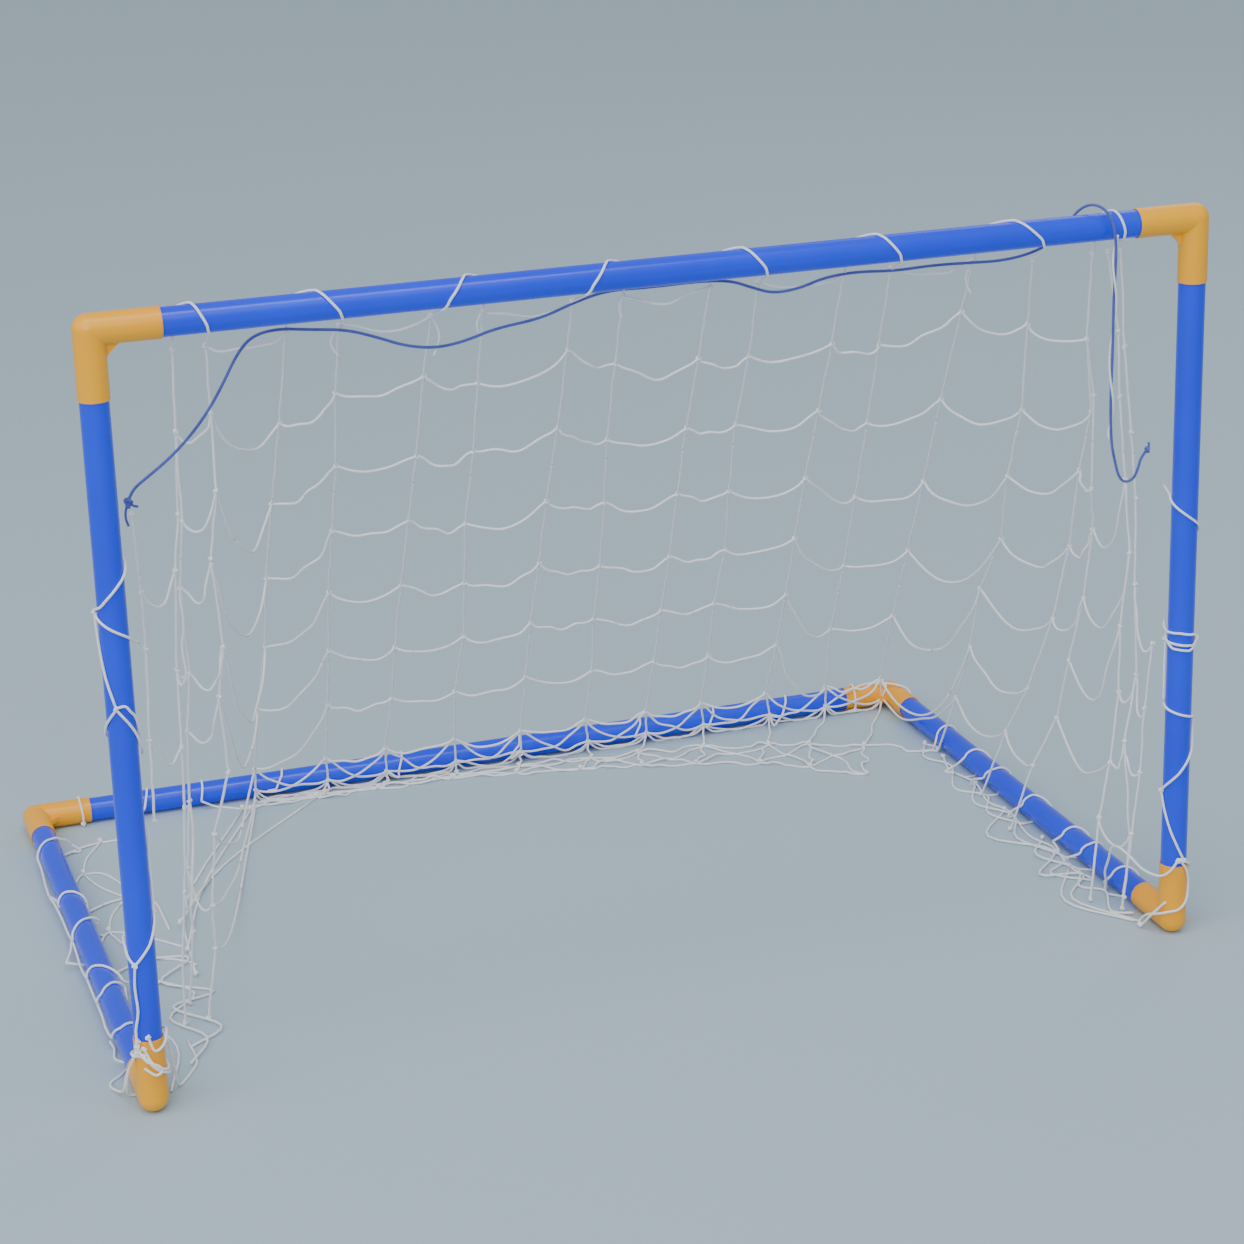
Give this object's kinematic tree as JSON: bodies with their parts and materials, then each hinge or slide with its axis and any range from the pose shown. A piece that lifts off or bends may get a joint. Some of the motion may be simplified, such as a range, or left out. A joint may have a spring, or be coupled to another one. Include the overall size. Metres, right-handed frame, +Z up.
{
  "type": "lawn goal",
  "caption": "Small freestanding lawn goal: push-fit tubes and elbows, upright mouth, floor rails and a knotted twine net sloping from the crossbar to the rear rail.",
  "frame": {"origin": "on the floor, under the middle of the frame's outline", "axes": "+X along the crossbar to the goal's right as seen from the shooter, +Y from the goal mouth to the back, +Z up"},
  "size_m": [0.9284, 0.655, 0.6527],
  "materials": {
    "tube": "glossy blue pipe",
    "elbow": "glossy yellow moulding",
    "twine": "matt white twine",
    "draw_cord": "soft blue twine"
  },
  "bodies": {
    "base": {"left_foot_elbow": "elbow", "right_foot_elbow": "elbow", "left_side_rail": "tube", "right_side_rail": "tube", "left_rail_net_loops": "twine", "right_rail_net_loops": "twine", "left_foot_net_tie": "twine", "right_foot_net_tie": "twine", "back_net": "twine", "left_side_net": "twine", "right_side_net": "twine"},
    "posts": {"left_post": "tube", "right_post": "tube", "left_post_net_loops": "twine", "right_post_net_loops": "twine"},
    "crossbar_frame": {"crossbar": "tube", "top_left_elbow": "elbow", "top_right_elbow": "elbow", "crossbar_net_loops": "twine", "draw_cord": "draw_cord", "draw_cord_tie_knot": "draw_cord", "draw_cord_end_knot": "draw_cord"},
    "rear_frame": {"rear_rail": "tube", "rear_left_elbow": "elbow", "rear_right_elbow": "elbow", "rear_rail_net_loops": "twine", "rear_left_net_tie": "twine", "rear_right_net_tie": "twine"}
  },
  "joints": [
    {"name": "post_lift", "type": "slide", "parent": "base", "child": "posts", "axis": [0, 0, 1], "range_m": [0, 0.036]},
    {"name": "crossbar_lift", "type": "slide", "parent": "posts", "child": "crossbar_frame", "axis": [0, 0, 1], "range_m": [0, 0.036]},
    {"name": "rear_pull", "type": "slide", "parent": "base", "child": "rear_frame", "axis": [0, 1, 0], "range_m": [0, 0.036]}
  ]
}
